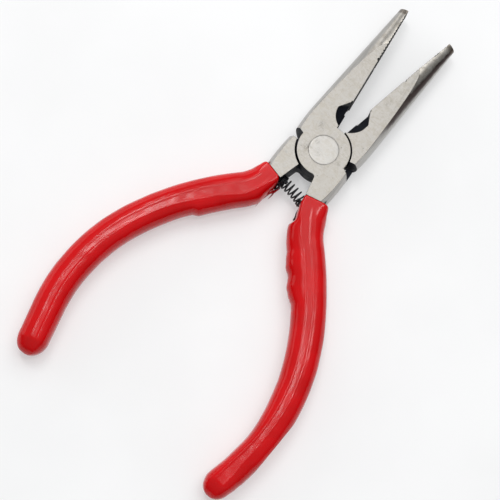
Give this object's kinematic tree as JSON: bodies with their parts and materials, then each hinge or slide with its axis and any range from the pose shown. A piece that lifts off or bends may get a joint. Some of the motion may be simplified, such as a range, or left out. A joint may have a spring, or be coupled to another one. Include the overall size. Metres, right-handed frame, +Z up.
{
  "type": "long nose pliers",
  "caption": "Small long-nose pliers with a half-round tapered nose, side cutters, lap joint on a flush rivet, coil return spring and dipped grips.",
  "frame": {"origin": "pivot axis where it meets the flat underside of the head, which is the surface that the pliers lie on", "axes": "+Y along the centre line to the jaw tips, +Z up along the pivot axis, handles toward -Y"},
  "size_m": [0.0673, 0.1245, 0.0082],
  "materials": {
    "steel": "satin ground faces over a dark forged surface in the recesses",
    "spring_steel": "black oxide, slightly glossy",
    "grip": "glossy dipped vinyl"
  },
  "bodies": {
    "lower": {"lower_half": "steel", "pivot_rivet": "steel", "left_spring_pin": "spring_steel", "left_grip": "grip", "return_spring": "spring_steel"},
    "upper": {"upper_half": "steel", "right_spring_pin": "spring_steel", "right_grip": "grip"}
  },
  "joints": [
    {"name": "pivot", "type": "hinge", "parent": "lower", "child": "upper", "pos_m": [0, 0, 0.004], "axis": [0, 0, 1], "range_deg": [-17.6, 3.5], "stiffness_Nm_per_rad": 0.2, "deforming": ["return_spring"]}
  ]
}
